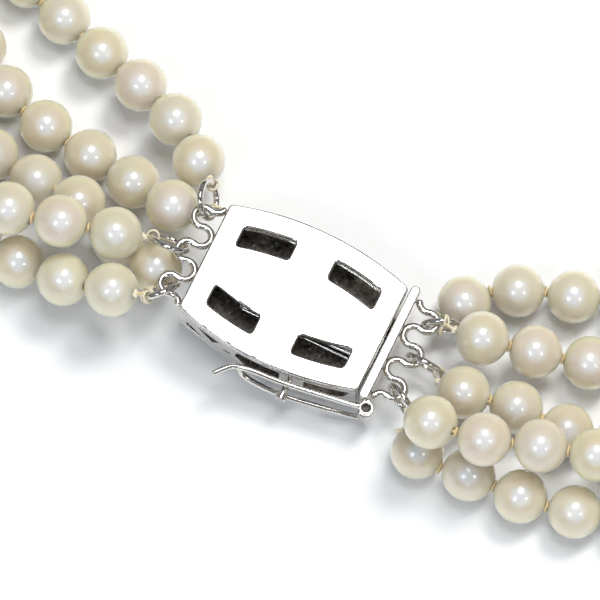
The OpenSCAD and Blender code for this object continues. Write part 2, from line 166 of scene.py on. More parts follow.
def from_clasp(points):
    return CLASP_AT + np.asarray(points, float) @ CLASP_TURN.T


def square_axes(way):
    """Two directions square to a way and to each other."""
    side = unit(np.cross([0.03, 0.02, 1.0], way))
    return side, np.cross(way, side)


# Routes of the strands

def end_x(side):
    return HALF_LEN if side < 0 else BAR_END


def near_clasp(side, points, pearl_d):
    end = from_clasp([side * end_x(side), 0, 0])
    return np.array([end[0], end[1], 0]) + pearl_d * np.array(points, float)


def route_points(k, pearl_r, lane_gap, loop_r):
    step = 2 * pearl_r + lane_gap
    radius = loop_r + LANES[k] * step
    nest = pearl_r + math.sqrt((2 * pearl_r + NEST_GAP) ** 2 - (step / 2) ** 2)
    height = nest if STRANDS[k] == "top" else pearl_r
    arc = LOOP_AT + np.array([(radius * sind(a), -radius * cosd(a), height) for a in ARC_ANGLES])
    right = near_clasp(1, RIGHT_POINTS[k], 2 * pearl_r)
    left = near_clasp(-1, LEFT_POINTS[k][::-1], 2 * pearl_r)
    return np.vstack([right, arc, left])


def smooth_route(p, floor_z):
    """Curve through the points, with tangents weighed by the distances to the neighbours."""
    d = strides(p)
    chords = (p[1:] - p[:-1]) / d[:, None]
    inner = (chords[:-1] * d[1:, None] + chords[1:] * d[:-1, None]) / (d[:-1] + d[1:])[:, None]
    tangents = np.vstack([chords[:1], inner, chords[-1:]])
    curve = []
    for i in range(len(p) - 1):
        for s in range(SPLINE_STEPS):
            t = s / SPLINE_STEPS
            curve.append(
                p[i] * (2 * t ** 3 - 3 * t * t + 1) + p[i + 1] * (3 * t * t - 2 * t ** 3)
                + d[i] * (tangents[i] * (t ** 3 - 2 * t * t + t) + tangents[i + 1] * (t ** 3 - t * t)))
    curve = np.array(curve + [p[-1]])
    curve[:, 2] = np.maximum(curve[:, 2], floor_z)
    return curve


def spaced(curve, count):
    d = run_of(curve)
    at = np.linspace(0, d[-1], count)
    return np.stack([np.interp(at, d, curve[:, i]) for i in range(3)], 1)


def pearl_centres(k, sizes):
    pearl_r = sizes.pearl_diameter / MM / 2
    curve = smooth_route(route_points(k, pearl_r, sizes.lane_gap / MM, sizes.loop_radius / MM), pearl_r)
    return spaced(curve, 1 + math.floor(strides(curve).sum() / (sizes.pearl_pitch / MM) + 0.5))


# Jump rings and the silk tied to them

def ring_frame(side, n):
    """Middle of a jump ring's loop on the clasp and the ring's turn, in the frame of the part."""
    swing, drop, lean, dx, dy = (LEFT_RINGS if side < 0 else RIGHT_RINGS)[n]
    hole = from_clasp([side * (end_x(side) + WAVE_OUT) + dx, (1 - n) * WAVE_PITCH + dy, -WAVE_DEPTH])
    return hole, CLASP_TURN @ turn_z(swing) @ turn_y(drop) @ turn_x(lean)


def tie_frame(side, k, pearl):
    """Where a strand is tied to its ring, the wire's way there, and the way from the wire to the pearl."""
    n, angle = (LEFT_TIES if side < 0 else RIGHT_TIES)[k]
    hole, turn = ring_frame(side, n)
    at = hole + turn @ (RING_R * np.array([1 + cosd(angle), 0, sind(angle)]))
    way = turn @ np.array([-sind(angle), 0, cosd(angle)])
    v = pearl - at
    return at, way, unit(v - (v @ way) * way)


def strand_layout(k, sizes):
    """Pearl centres of a strand, the way each is drilled, and the two silk ends."""
    p = pearl_centres(k, sizes)
    exits = []
    for side, pearl in ((1, p[0]), (-1, p[-1])):
        at, way, out = tie_frame(side, k, pearl)
        exits.append(at + TIE_R * out)
    before = np.vstack([exits[0], p[:-1]])
    after = np.vstack([p[1:], exits[1]])
    return p, unit(after - before), exits


# Mesh building: a shape is a pair of its points in millimetres and a list of face arrays

def joined(shapes):
    points, faces, start = [], [], 0
    for shape_points, shape_faces in shapes:
        points.append(shape_points)
        faces.extend(f + start for f in shape_faces)
        start += len(shape_points)
    return np.vstack(points), faces


def parts_with_zones(parts):
    """Join shapes that carry a material zone for each face."""
    zones = [np.broadcast_to(zone, sum(len(f) for f in shape[1])) for shape, zone in parts]
    return joined([shape for shape, _ in parts]), np.concatenate(zones)


def grid_faces(rows, cols, closed_rows=False):
    """Quads between rows of a grid whose columns close on themselves."""
    i = np.arange(rows if closed_rows else rows - 1)
    j = np.arange(cols)
    a = i[:, None] * cols + j[None, :]
    b = i[:, None] * cols + (j[None, :] + 1) % cols
    nxt = ((i[:, None] + 1) % rows) * cols
    return np.stack([a, b, nxt + (j[None, :] + 1) % cols, nxt + j[None, :]], -1).reshape(-1, 4)


def skin(rows, sides, closed):
    """Faces of a grid of rings: quads, and a flat cap at each end unless it closes on itself."""
    faces = [grid_faces(rows, sides, closed)]
    if not closed:
        faces += [np.arange(sides)[None, ::-1], (np.arange(sides) + (rows - 1) * sides)[None, :]]
    return faces


def tube(path, radii, sides, closed=False):
    """Round tube along a path; an open one ends in flat caps of one face."""
    path = np.asarray(path, float)
    radii = np.broadcast_to(radii, len(path))
    if closed:
        ways = np.roll(path, -1, 0) - np.roll(path, 1, 0)
    else:
        ways = np.vstack([path[1:2] - path[:1], path[2:] - path[:-2], path[-1:] - path[-2:-1]])
    ways = unit(ways)
    side, _ = square_axes(ways[0])
    sides_at = []
    for way in ways:
        side = unit(side - (side @ way) * way)
        sides_at.append(side)
    sides_at = np.array(sides_at)
    if closed:
        gap = math.atan2(np.cross(sides_at[-1], sides_at[0]) @ ways[0], sides_at[-1] @ sides_at[0])
        spin = np.linspace(0, gap, len(path), endpoint=False)
    else:
        spin = np.zeros(len(path))
    ups = np.cross(ways, sides_at)
    angles = np.linspace(0, 2 * math.pi, sides, endpoint=False)[None, :] + spin[:, None]
    ring = np.cos(angles)[..., None] * sides_at[:, None] + np.sin(angles)[..., None] * ups[:, None]
    return (path[:, None] + radii[:, None, None] * ring).reshape(-1, 3), skin(len(path), sides, closed)


def round_wire(path, radius, sides=14):
    """Wire with ends rounded like melted or filed wire."""
    path = np.asarray(path, float)
    first, last = unit(path[0] - path[1]), unit(path[-1] - path[-2])
    dome = [(math.sin(t), math.cos(t)) for t in np.radians((8, 35, 60))]
    points = [path[0] + first * radius * 0.6 * c for s, c in dome]
    points += list(path) + [path[-1] + last * radius * 0.6 * c for s, c in reversed(dome)]
    radii = [radius * s for s, c in dome] + [radius] * len(path) + [radius * s for s, c in reversed(dome)]
    return tube(points, np.array(radii), sides)


def lathe(profile, sides, closed=False):
    """Turned shape about +Z from radius and height pairs; a closed profile makes a pierced one."""
    profile = np.asarray(profile, float)
    angles = np.linspace(0, 2 * math.pi, sides, endpoint=False)
    ring = np.stack([np.cos(angles), np.sin(angles)], 1)
    xy = profile[:, 0, None, None] * ring[None]
    z = np.broadcast_to(profile[:, 1, None, None], (len(profile), sides, 1))
    return np.concatenate([xy, z], 2).reshape(-1, 3), skin(len(profile), sides, closed)


def placed(shape, turn, at):
    return shape[0] @ np.asarray(turn).T + np.asarray(at), shape[1]


def on_clasp(shape):
    return from_clasp(shape[0]), shape[1]


def along(way):
    """Turn that brings +Z into a way."""
    way = unit(np.asarray(way, float))
    return np.stack([*square_axes(way), way], 1)


def smooth_path(points, steps=8):
    """Rounded path through given points."""
    p = np.asarray(points, float)
    p = np.vstack([2 * p[0] - p[1], p, 2 * p[-1] - p[-2]])
    out = []
    for i in range(1, len(p) - 2):
        for s in range(steps):
            t = s / steps
            out.append(0.5 * (2 * p[i] + (p[i + 1] - p[i - 1]) * t
                              + (2 * p[i - 1] - 5 * p[i] + 4 * p[i + 1] - p[i + 2]) * t * t
                              + (3 * p[i] - p[i - 1] - 3 * p[i + 1] + p[i + 2]) * t ** 3))
    return np.array(out + [p[-2]])


def crease_sheets(mesh):
    """Keep the filled face of a sheet flat to its very rim, so that it mirrors evenly."""
    bm = bmesh.new()
    bm.from_mesh(mesh)
    for edge in bm.edges:
        filled = 3 in [len(face.verts) for face in edge.link_faces]
        if filled and len(edge.link_faces) == 2 and edge.calc_face_angle() > math.radians(5):
            edge.smooth = False
    bm.to_mesh(mesh)
    bm.free()


def make_piece(name, shape, materials, body="necklace", zones=None, sharp=0):
    """Object from a shape in millimetres, riding on a body; zones give each face its material.

    Edges sharper than the angle sharp stay sharp; without it the whole piece is smooth.
    """
    points, faces = shape
    sizes = np.concatenate([np.full(len(f), f.shape[1]) for f in faces])
    loops = np.concatenate([f.ravel() for f in faces])
    mesh = bpy.data.meshes.new(name)
    mesh.vertices.add(len(points))
    mesh.vertices.foreach_set("co", (points * MM).ravel())
    mesh.loops.add(len(loops))
    mesh.loops.foreach_set("vertex_index", loops.astype(np.int32))
    mesh.polygons.add(len(sizes))
    mesh.polygons.foreach_set("loop_start", np.concatenate([[0], np.cumsum(sizes)[:-1]]).astype(np.int32))
    mesh.polygons.foreach_set("use_smooth", np.ones(len(sizes), bool))
    if zones is not None:
        mesh.polygons.foreach_set("material_index", np.asarray(zones, np.int32))
    mesh.update(calc_edges=True)
    mesh.validate()
    for material in materials:
        mesh.materials.append(material)
    piece = bpy.data.objects.new(name, mesh)
    bpy.context.scene.collection.objects.link(piece)
    if sharp:
        mesh.set_sharp_from_angle(angle=math.radians(sharp))
        crease_sheets(mesh)
        even = piece.modifiers.new("Even shading", "WEIGHTED_NORMAL")
        even.mode = "FACE_AREA"
        even.keep_sharp = True
    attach(piece, body)
    return piece


# Sheet metal: flat outlines with holes, filled and given rounded rims

def sheet(outline, holes, thickness, rim=0.07):
    """Flat plate between z = -thickness and 0 with rounded rims, as a shape."""
    curve = bpy.data.curves.new("sheet outline", "CURVE")
    curve.dimensions = "2D"
    curve.fill_mode = "BOTH"
    curve.extrude = thickness / 2 - rim
    curve.bevel_depth = rim
    curve.bevel_resolution = 2
    curve.offset = -rim
    for points in [outline] + list(holes):
        spline = curve.splines.new("POLY")
        spline.points.add(len(points) - 1)
        for point, (x, y) in zip(spline.points, points):
            point.co = (x, y, 0, 1)
        spline.use_cyclic_u = True
    holder = bpy.data.objects.new("sheet outline", curve)
    bpy.context.scene.collection.objects.link(holder)
    bpy.context.view_layer.update()
    mesh = bpy.data.meshes.new_from_object(holder.evaluated_get(bpy.context.evaluated_depsgraph_get()))
    bm = bmesh.new()
    bm.from_mesh(mesh)
    bmesh.ops.remove_doubles(bm, verts=bm.verts, dist=0.0005)
    points, faces = taken_from(bm)
    bpy.data.objects.remove(holder)
    bpy.data.curves.remove(curve)
    bpy.data.meshes.remove(mesh)
    points[:, 2] -= thickness / 2
    return points, faces


def taken_from(bm):
    """Shape held by a bmesh, which is freed."""
    bm.verts.index_update()
    points = np.array([v.co[:] for v in bm.verts])
    groups = {}
    for face in bm.faces:
        groups.setdefault(len(face.verts), []).append([v.index for v in face.verts])
    bm.free()
    return points, [np.array(rows) for rows in groups.values()]


def sliced(shape, cuts):
    """Shape cut along planes square to X, so that it bends evenly."""
    points, faces = shape
    bm = bmesh.new()
    verts = [bm.verts.new(p) for p in points]
    for rows in faces:
        for row in rows:
            bm.faces.new([verts[i] for i in row])
    for x in cuts:
        bmesh.ops.bisect_plane(bm, geom=bm.verts[:] + bm.edges[:] + bm.faces[:], dist=0.0001,
                               plane_co=(x, 0, 0), plane_no=(1, 0, 0))
    return taken_from(bm)


def side_y(x, inset=0.0):
    """Half width of the box's outline at a place along it, drawn in by an inset."""
    return math.sqrt((SIDE_R - inset) ** 2 - x * x) - SIDE_Y


def box_outline():
    """Outline of the box's plates, with eased corners."""
    ease = 0.28
    top = [(x, side_y(x)) for x in np.linspace(-HALF_LEN + ease, HALF_LEN - ease, 28)]
    corner = [(HALF_LEN - 0.08, side_y(HALF_LEN) - 0.1), (HALF_LEN, side_y(HALF_LEN) - ease)]
    right = top + corner
    right += [(x, -y) for x, y in reversed(corner)] + [(x, -y) for x, y in reversed(top)]
    left = [(-x, -y) for x, y in corner]
    return right + left + [(x, -y) for x, y in reversed(left)]


def strip_outline(sx, sy, ends, insets):
    """Strip between two lines that follow the long side of the box."""
    xs = np.linspace(*ends, 8)
    outer = [(sx * x, sy * side_y(x, insets[0])) for x in xs]
    return outer + [(sx * x, sy * side_y(x, insets[1])) for x in reversed(xs)]


def window_outline(sx, sy):
    return rounded(strip_outline(sx, sy, WINDOW_X, WINDOW_IN), WINDOW_ROUND)


def rounded(points, radius, steps=3):
    """Outline whose sharp corners are rounded."""
    out = []
    n = len(points)
    for i in range(n):
        p, a, b = (np.array(points[j % n], float) for j in (i, i - 1, i + 1))
        da, db = a - p, b - p
        la, lb = np.linalg.norm(da), np.linalg.norm(db)
        turn = math.degrees(math.acos(np.clip(-(da @ db) / (la * lb), -1, 1)))
        if turn < 25:
            out.append(tuple(p))
            continue
        ra, rb = min(radius, la / 2.2), min(radius, lb / 2.2)
        start, end = p + da / la * ra, p + db / lb * rb
        for t in np.linspace(0, 1, steps + 1):
            out.append(tuple(start * (1 - t) ** 2 + 2 * p * t * (1 - t) + end * t * t))
    return out


# Windows and the thin lips below their far edges: ends along the box, then insets from its side
WINDOW_X = (2.2, 7.5)
WINDOW_IN = (2.1, 4.2)
WINDOW_ROUND = 0.45
LIP_X = (2.0, 7.7)
LIP_IN = (1.8, 2.23)
LIP_T = 0.12

# Gallery openings, as shares of half the box's length and of its height
GALLERY = (
    ((-0.89, -0.58), (-0.86, -0.56), (-0.62, -0.82), (-0.88, -0.8)),
    ((-0.78, -0.3), (-0.48, -0.34), (-0.56, -0.62)),
    ((-0.45, -0.58), (-0.36, -0.56), (-0.34, -0.66), (-0.43, -0.68)),
    ((-0.27, -0.26), (0.2, -0.24), (0.2, -0.8), (-0.2, -0.8), (-0.3, -0.55)),
    ((0.46, -0.24), (0.92, -0.28), (0.88, -0.6), (0.7, -0.8), (0.46, -0.8)),
)


def wall_outline(half):
    """Wall of a half length, between the two plates."""
    top, low = -PLATE_T - 0.01, -BOX_H + PLATE_T + 0.01
    return [(-half, low), (half, low), (half, top), (-half, top)]


def long_wall(side):
    """Pierced long wall, cut flat and bent along the side of the box."""
    outline = wall_outline(HALF_LEN - 0.1)
    holes = [rounded([(x * HALF_LEN, z * BOX_H) for x, z in shape], 0.2) for shape in GALLERY]
    flat = sliced(sheet(outline, holes, WALL_T, WALL_RIM), np.linspace(-9.2, 9.2, 24))
    p = flat[0]
    bent = np.empty_like(p)
    for i, (x, z, w) in enumerate(p):
        depth = -w
        slope = x / (SIDE_R - depth)
        bent[i] = (x - depth * slope, side * side_y(x, depth), z)
    faces = flat[1] if side < 0 else [f[:, ::-1] for f in flat[1]]
    # Faces on the inner side of the wall take the second material, painted dark as shade
    inner = np.concatenate([(p[f][:, :, 2].mean(1) < -0.1) for f in flat[1]])
    return (bent, faces), inner.astype(int)


def wave_wire(side):
    def arc(cx, cy, start, end):
        angles = np.linspace(start, end, 19)
        return [(cx + BEND_R * cosd(a), cy + BEND_R * sind(a), -WAVE_DEPTH) for a in angles]
    path = arc(WAVE_IN, 1.5 * WAVE_PITCH, 200, 180 + WAVE_TURN)
    for n in (1, 0, -1):
        path += arc(WAVE_OUT, n * WAVE_PITCH, WAVE_TURN, -WAVE_TURN)[1:]
        path += arc(WAVE_IN, (n - 0.5) * WAVE_PITCH, 180 - WAVE_TURN, 160 if n < 0 else 180 + WAVE_TURN)[1:]
    return round_wire([(side * (end_x(side) + x), y, z) for x, y, z in path], WAVE_D / 2, 16)


# Materials

class Nodes:
    """Small helper that adds nodes and fills their sockets by name or number."""

    def __init__(self, tree):
        self.tree = tree

    def set(self, node, key, value):
        socket = node.inputs[key]
        if isinstance(value, bpy.types.NodeSocket):
            self.tree.links.new(value, socket)
        else:
            socket.default_value = value

    def add(self, kind, settings=None, **inputs):
        node = self.tree.nodes.new(kind)
        for key, value in (settings or {}).items():
            setattr(node, key, value)
        for key, value in inputs.items():
            self.set(node, key.replace("_", " "), value)
        return node

    def math(self, operation, *values, clamp=False):
        node = self.add("ShaderNodeMath", {"operation": operation, "use_clamp": clamp})
        for index, value in enumerate(values):
            self.set(node, index, value)
        return node.outputs[0]

    def mix(self, factor, a, b):
        node = self.add("ShaderNodeMix", {"data_type": "RGBA"})
        for index, value in ((0, factor), (6, rgba(a)), (7, rgba(b))):
            self.set(node, index, value)
        return node.outputs[2]

    def band(self, value, low, high):
        """Mask that rises smoothly from low to high, or falls where low is the higher."""
        node = self.add("ShaderNodeMapRange", {"interpolation_type": "SMOOTHSTEP"},
                        Value=value, From_Min=low, From_Max=high)
        return node.outputs["Result"]

    def spread(self, mask, low, high):
        """Value that goes from low to high with a mask."""
        return self.add("ShaderNodeMapRange", Value=mask, To_Min=low, To_Max=high).outputs["Result"]

    def bump(self, height, strength, distance):
        node = self.add("ShaderNodeBump", Height=height, Strength=strength, Distance=distance)
        return node.outputs["Normal"]

    def surface(self, **inputs):
        """Principled shader wired to the material's output."""
        shader = self.add("ShaderNodeBsdfPrincipled", **inputs)
        self.add("ShaderNodeOutputMaterial", Surface=shader.outputs[0])


def rgba(color):
    """Colour with a fourth part; a socket stays as it is."""
    return color if isinstance(color, bpy.types.NodeSocket) else (*color[:3], 1.0)


def dressed(name, dress, *colors):
    """Material of a name, made and dressed when it is first asked for."""
    if name in bpy.data.materials:
        return bpy.data.materials[name]
    material = bpy.data.materials.new(name)
    material.use_nodes = True
    material.node_tree.nodes.clear()
    dress(Nodes(material.node_tree), *colors)
    return material


def effect(name, build, inputs, outputs):
    """Node group of a name with its sockets, built when it is first asked for."""
    if name in bpy.data.node_groups:
        return bpy.data.node_groups[name]
    tree = bpy.data.node_groups.new(name, "ShaderNodeTree")
    for socket in inputs:
        tree.interface.new_socket(socket, in_out="INPUT", socket_type="NodeSocketFloat")
    for socket, kind in outputs:
        tree.interface.new_socket(socket, in_out="OUTPUT", socket_type=kind)
    given = tree.nodes.new("NodeGroupInput").outputs
    nodes = Nodes(tree)
    end = tree.nodes.new("NodeGroupOutput")
    for socket, value in build(nodes, *[given[socket] for socket in inputs]).items():
        nodes.set(end, socket, value)
    return tree


def object_noise(nodes, size, detail, roughness, stretch=None):
    """Noise laid over a piece, its size in millimetres, stretched along one way or not."""
    place = nodes.add("ShaderNodeTexCoord").outputs["Object"]
    if stretch:
        place = nodes.add("ShaderNodeMapping", Vector=place, Rotation=(0.3, 0.5, 0.8), Scale=stretch).outputs[0]
    scale = nodes.math("DIVIDE", 1 / MM, size)
    return nodes.add("ShaderNodeTexNoise", Vector=place, Scale=scale, Detail=detail,
                     Roughness=roughness).outputs["Fac"]


def build_mottle(nodes, size, contrast):
    centred = nodes.math("SUBTRACT", object_noise(nodes, size, 3.0, 0.55), 0.5)
    return {"Mask": nodes.math("MULTIPLY_ADD", centred, contrast, 0.5, clamp=True)}


def build_scratches(nodes, size, depth):
    lines = object_noise(nodes, size, 4.0, 0.7, (1.0, 9.0, 4.0))
    return {"Mask": nodes.band(lines, 0.42, 0.7), "Normal": nodes.bump(lines, depth, 0.03 * MM)}


def mottle(nodes, size, contrast):
    """Soft uneven tone, used in the pearls, the silk, the dark metal and the floor."""
    tree = effect("soft mottle", build_mottle, ("Size", "Contrast"), (("Mask", "NodeSocketFloat"),))
    return nodes.add("ShaderNodeGroup", {"node_tree": tree}, Size=size, Contrast=contrast).outputs["Mask"]


def scratches(nodes, size, depth):
    """Hairline scratches and handling marks as a mask and a normal, used in all the metal."""
    tree = effect("fine scratches", build_scratches, ("Size", "Depth"),
                  (("Mask", "NodeSocketFloat"), ("Normal", "NodeSocketVector")))
    node = nodes.add("ShaderNodeGroup", {"node_tree": tree}, Size=size, Depth=depth)
    return node.outputs["Mask"], node.outputs["Normal"]


def nacre(nodes, colors):
    """Pearl: cream body, each pearl with its own tone, soft broad gloss below a clear bright skin; painted
    sheen where it faces the eye, a painted glow towards its rim and a painted reflection at its very edge.
    """
    tone = nodes.add("ShaderNodeAttribute", {"attribute_name": "pearl_tone"})
    rosy, patchy, warm = nodes.add("ShaderNodeSeparateColor", Color=tone.outputs["Color"]).outputs
    body = nodes.mix(rosy, colors.cream, colors.rose)
    patch = nodes.math("MULTIPLY", mottle(nodes, 4.0, 1.6), patchy)
    body = nodes.mix(patch, body, colors.honey)
    facing = nodes.add("ShaderNodeLayerWeight", Blend=0.5).outputs["Facing"]
    # Painted glow: rim colours laid where the surface turns from the eye, for light shining through the rim
    rim = nodes.mix(warm, colors.rim, colors.painted_warm_rim)
    body = nodes.mix(nodes.band(facing, 0.2, 0.6), body, rim)
    # Painted reflection: palest colour at the very edge, for the bright floor mirrored there
    body = nodes.mix(nodes.band(facing, 0.66, 0.82), body, colors.edge)
    # Painted sheen: paler colour laid where the pearl faces the eye
    body = nodes.mix(nodes.band(facing, 0.14, 0.0), body, colors.painted_sheen)
    fine = mottle(nodes, 0.9, 0.7)
    nodes.surface(Base_Color=body, Roughness=nodes.spread(fine, 0.34, 0.42), IOR=1.7,
                  Specular_IOR_Level=0.7, Specular_Tint=(0.97, 0.96, 1.0, 1.0), Coat_Weight=1.0,
                  Coat_Roughness=0.09, Coat_IOR=1.7, Subsurface_Weight=0.9,
                  Subsurface_Radius=(1.0, 0.85, 0.6), Subsurface_Scale=3 * MM,
                  Normal=nodes.bump(fine, 0.05, 0.2 * MM))


def polished(nodes, colors):
    mask, normal = scratches(nodes, 0.5, 0.1)
    color = nodes.mix(mask, colors.metal, colors.scratch)
    nodes.surface(Base_Color=color, Metallic=1.0, Roughness=nodes.spread(mask, 0.05, 0.13), Normal=normal)


def painted_dark_inside(nodes, colors):
    """Rough inside of the box, painted dark as shade, with a lighter mottled grain and pale specks of the
    polished metal's colour.
    """
    # Painted shade: near-black colour, mottled with a lighter grain
    mask = mottle(nodes, 0.4, 3.0)
    color = nodes.mix(mask, colors.inside_painted_shade, colors.grain)
    color = nodes.mix(nodes.band(mottle(nodes, 0.6, 2.0), 0.8, 0.95), color, colors.metal)
    nodes.surface(Base_Color=color, Metallic=0.35, Roughness=nodes.spread(mask, 0.35, 0.6),
                  Normal=scratches(nodes, 0.9, 0.6)[1])


def silk(nodes, lit, shade):
    place = nodes.add("ShaderNodeTexCoord").outputs["Object"]
    twist = nodes.add("ShaderNodeTexWave", {"wave_type": "BANDS", "bands_direction": "DIAGONAL"}, Vector=place,
                      Scale=2200.0, Distortion=1.5, Detail=1.0).outputs["Fac"]
    # Painted shade: darker colour in bands between the plies, the lit colour where the plies stand out
    color = nodes.mix(twist, shade, lit)
    color = nodes.mix(mottle(nodes, 1.5, 1.2), color, lit)
    nodes.surface(Base_Color=color, Roughness=0.6, Sheen_Weight=0.5, Sheen_Roughness=0.4,
                  Normal=nodes.bump(twist, 0.6, 0.05 * MM))


def sweep(nodes, color):
    nodes.surface(Base_Color=nodes.mix(mottle(nodes, 60.0, 0.4), color, (0.93, 0.93, 0.93)), Roughness=0.75,
                  Specular_IOR_Level=0.2)


# Settings

class NECKLACE_PG_sizes(bpy.types.PropertyGroup):
    pearl_diameter: bpy.props.FloatProperty(
        name="Pearl diameter", description="Diameter of a pearl",
        default=5.4 * MM, unit="LENGTH", precision=5)
    pearl_pitch: bpy.props.FloatProperty(
        name="Pearl pitch", description="Distance from pearl to pearl",
        default=5.6 * MM, unit="LENGTH", precision=5)
    bore_diameter: bpy.props.FloatProperty(
        name="Bore", description="Hole drilled through a pearl",
        default=0.9 * MM, unit="LENGTH", precision=5)
    lane_gap: bpy.props.FloatProperty(
        name="Lane gap", description="Clear space between strands side by side",
        default=1.6 * MM, unit="LENGTH", precision=5)
    loop_radius: bpy.props.FloatProperty(
        name="Loop radius", description="Radius of the innermost strand's lane",
        default=60.5 * MM, unit="LENGTH", precision=5)
    size_spread: bpy.props.FloatProperty(
        name="Size spread", description="How much the pearls differ in size, as a share",
        default=0.012, subtype="FACTOR", min=0.0, max=0.05)


class NECKLACE_PG_finish(bpy.types.PropertyGroup):
    cream: bpy.props.FloatVectorProperty(
        name="Cream", description="Body colour of the greener pearls",
        subtype="COLOR", default=(0.655, 0.625, 0.48))
    rose: bpy.props.FloatVectorProperty(
        name="Rose", description="Body colour of the pinker pearls",
        subtype="COLOR", default=(0.695, 0.61, 0.52))
    honey: bpy.props.FloatVectorProperty(
        name="Honey", description="Warm patches on some pearls",
        subtype="COLOR", default=(0.71, 0.595, 0.385))
    # Painted sheen, laid where a pearl faces the eye
    painted_sheen: bpy.props.FloatVectorProperty(
        name="Lustre", description="Paler colour where a pearl faces the eye",
        subtype="COLOR", default=(0.74, 0.725, 0.71))
    # Painted glow of light through the rim of a greenish pearl
    rim: bpy.props.FloatVectorProperty(
        name="Rim", description="Light that shines through the rim of a greenish pearl",
        subtype="COLOR", default=(0.75, 0.71, 0.475))
    # Painted glow of light through the rim of a pinkish pearl
    painted_warm_rim: bpy.props.FloatVectorProperty(
        name="Warm rim", description="Light that shines through the rim of a pinkish pearl",
        subtype="COLOR", default=(0.77, 0.68, 0.52))
    # Painted reflection: palest colour at the very edge of a pearl
    edge: bpy.props.FloatVectorProperty(
        name="Edge", description="Palest colour, at the very edge of a pearl",
        subtype="COLOR", default=(0.88, 0.83, 0.69))
    metal: bpy.props.FloatVectorProperty(
        name="White gold", description="Colour of the polished metal",
        subtype="COLOR", default=(0.80, 0.775, 0.74))
    scratch: bpy.props.FloatVectorProperty(
        name="Scratches", description="Colour of the metal where it is scratched",
        subtype="COLOR", default=(0.68, 0.65, 0.61))
    # Painted shade: near-black colour of the inside faces of the box
    inside_painted_shade: bpy.props.FloatVectorProperty(
        name="Tarnish", description="Colour of the darkened inside",
        subtype="COLOR", default=(0.035, 0.027, 0.02))
    # Lighter grain mottled into the painted shade of the inside
    grain: bpy.props.FloatVectorProperty(
        name="Grain", description="Lighter grain of the darkened inside",
        subtype="COLOR", default=(0.27, 0.235, 0.2))
    silk: bpy.props.FloatVectorProperty(
        name="Silk", description="Lit colour of the silk",
        subtype="COLOR", default=(0.9, 0.84, 0.66))
    knot: bpy.props.FloatVectorProperty(
        name="Knots", description="Colour of the knots, where oil has darkened the silk",
        subtype="COLOR", default=(0.80, 0.62, 0.32))
    # Painted shade between the silk's plies
    painted_ply_shade: bpy.props.FloatVectorProperty(
        name="Silk shade", description="Colour between the silk's plies",
        subtype="COLOR", default=(0.72, 0.55, 0.29))


class NECKLACE_PG_stage(bpy.types.PropertyGroup):
    floor: bpy.props.FloatVectorProperty(
        name="Floor", description="Colour of the floor", subtype="COLOR", default=(0.9, 0.9, 0.9))
    key: bpy.props.FloatProperty(
        name="Key light", description="Power of the light from behind", default=4.8, min=0.0)
    top: bpy.props.FloatProperty(
        name="Top light", description="Power of the soft box overhead", default=2.05, min=0.0)
    fill: bpy.props.FloatProperty(
        name="Fill light", description="Power of the low soft light in front", default=1.7, min=0.0)
    room: bpy.props.FloatProperty(
        name="Room", description="Brightness of the room round the table", default=0.78, min=0.0)
    camera_distance: bpy.props.FloatProperty(
        name="Camera distance", description="From the camera to the clasp", default=1.2, unit="LENGTH")
    elevation: bpy.props.FloatProperty(
        name="Elevation", description="Height of the camera above the floor as an angle",
        default=math.radians(65), subtype="ANGLE")
    swing: bpy.props.FloatProperty(
        name="Swing", description="Turn of the camera about the vertical",
        default=math.radians(25), subtype="ANGLE")
    view_width: bpy.props.FloatProperty(
        name="View width", description="Width of the picture at the clasp", default=60 * MM, unit="LENGTH")


def sizes():
    return bpy.context.scene.necklace_sizes


def finish():
    return bpy.context.scene.necklace_finish


def two_metals():
    # The second material paints the inside faces dark, as shade
    return [dressed("polished white gold", polished, finish()), dressed("dark inside", painted_dark_inside, finish())]


# Pearls and silk

SPHERE_SIDES = 32
SPHERE_RINGS = 19
LARGEST = 1.004


def pearl_template(radius, bore_r):
    """Drilled pearl about +Z: rings down the outside, then up through the bore."""
    start = math.asin(bore_r / radius)
    polar = np.concatenate([[start, start + 0.03],
                            np.linspace(start + 0.12, math.pi - start - 0.12, SPHERE_RINGS - 4),
                            [math.pi - start - 0.03, math.pi - start]])
    profile = [(radius * math.sin(a), radius * math.cos(a)) for a in polar]
    inside = radius * math.cos(start) - 0.15
    profile += [(bore_r, -inside), (bore_r, inside)]
    points, faces = lathe(profile, SPHERE_SIDES, closed=True)
    return points, [faces[0][:, ::-1]]


def string_of_pearls(k, rng):
    """Joined pearls of one strand, with a tone for each point."""
    size = sizes()
    centres, ways, _ = strand_layout(k, size)
    template, faces = pearl_template(size.pearl_diameter / MM / 2, size.bore_diameter / MM / 2)
    polar = np.arctan2(np.hypot(template[:, 0], template[:, 1]), template[:, 2])
    around = np.arctan2(template[:, 1], template[:, 0])
    shapes, tones = [], []
    for centre, way in zip(centres, ways):
        scale = LARGEST - size.size_spread * rng.random()
        a, b, c = rng.random(3) * 2 * math.pi
        swell = 1 + 0.0035 * (np.sin(2 * around + a) + np.sin(3 * around + b)) * np.sin(polar) ** 2
        swell += 0.004 * np.sin(2 * polar + c)
        spin = turn_z(rng.random() * 360)
        turn = along(way) @ spin
        shapes.append(placed((template * (scale * swell)[:, None], faces), turn, centre))
        tones.append(np.tile([rng.random(), rng.random(), rng.random(), 1.0], (len(template), 1)))
    return joined(shapes), np.vstack(tones)


